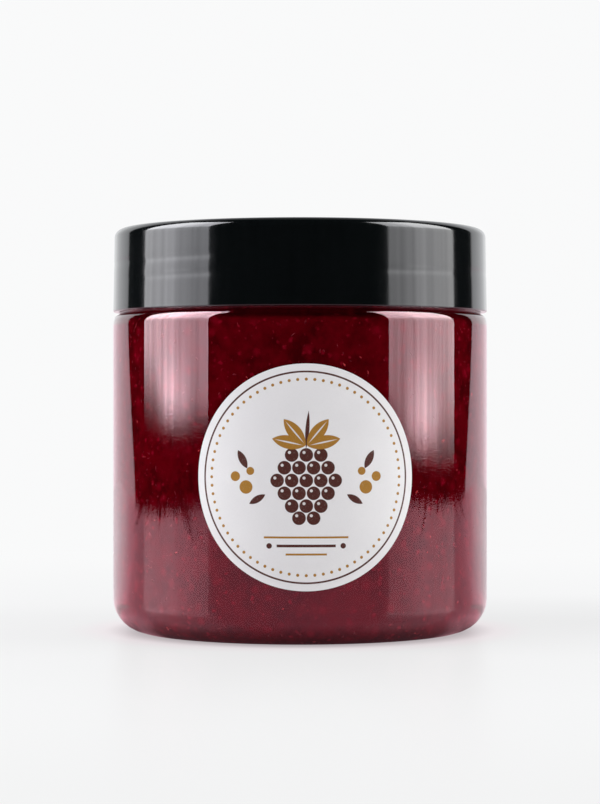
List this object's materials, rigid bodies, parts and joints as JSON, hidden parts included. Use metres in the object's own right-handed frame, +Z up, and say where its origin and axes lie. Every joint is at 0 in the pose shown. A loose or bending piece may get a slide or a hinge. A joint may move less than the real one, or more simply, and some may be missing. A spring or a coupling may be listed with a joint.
{
  "type": "fruit puree tub",
  "caption": "Straight-sided clear plastic jar of dark red fruit puree, with a black screw lid and a round white label.",
  "frame": {"origin": "centre of the plane that the jar stands on", "axes": "+Z up the axis of the jar towards the lid, -Y towards the label"},
  "size_m": [0.09, 0.0901, 0.0963],
  "materials": {
    "clear_plastic": "clear, glossy",
    "puree": "wet, glossy",
    "black_plastic": "glossy",
    "label_paper": "coated, glossy"
  },
  "bodies": {
    "root": {"jar": "clear_plastic", "puree": "puree", "lid": "black_plastic", "label": "label_paper"}
  },
  "joints": []
}
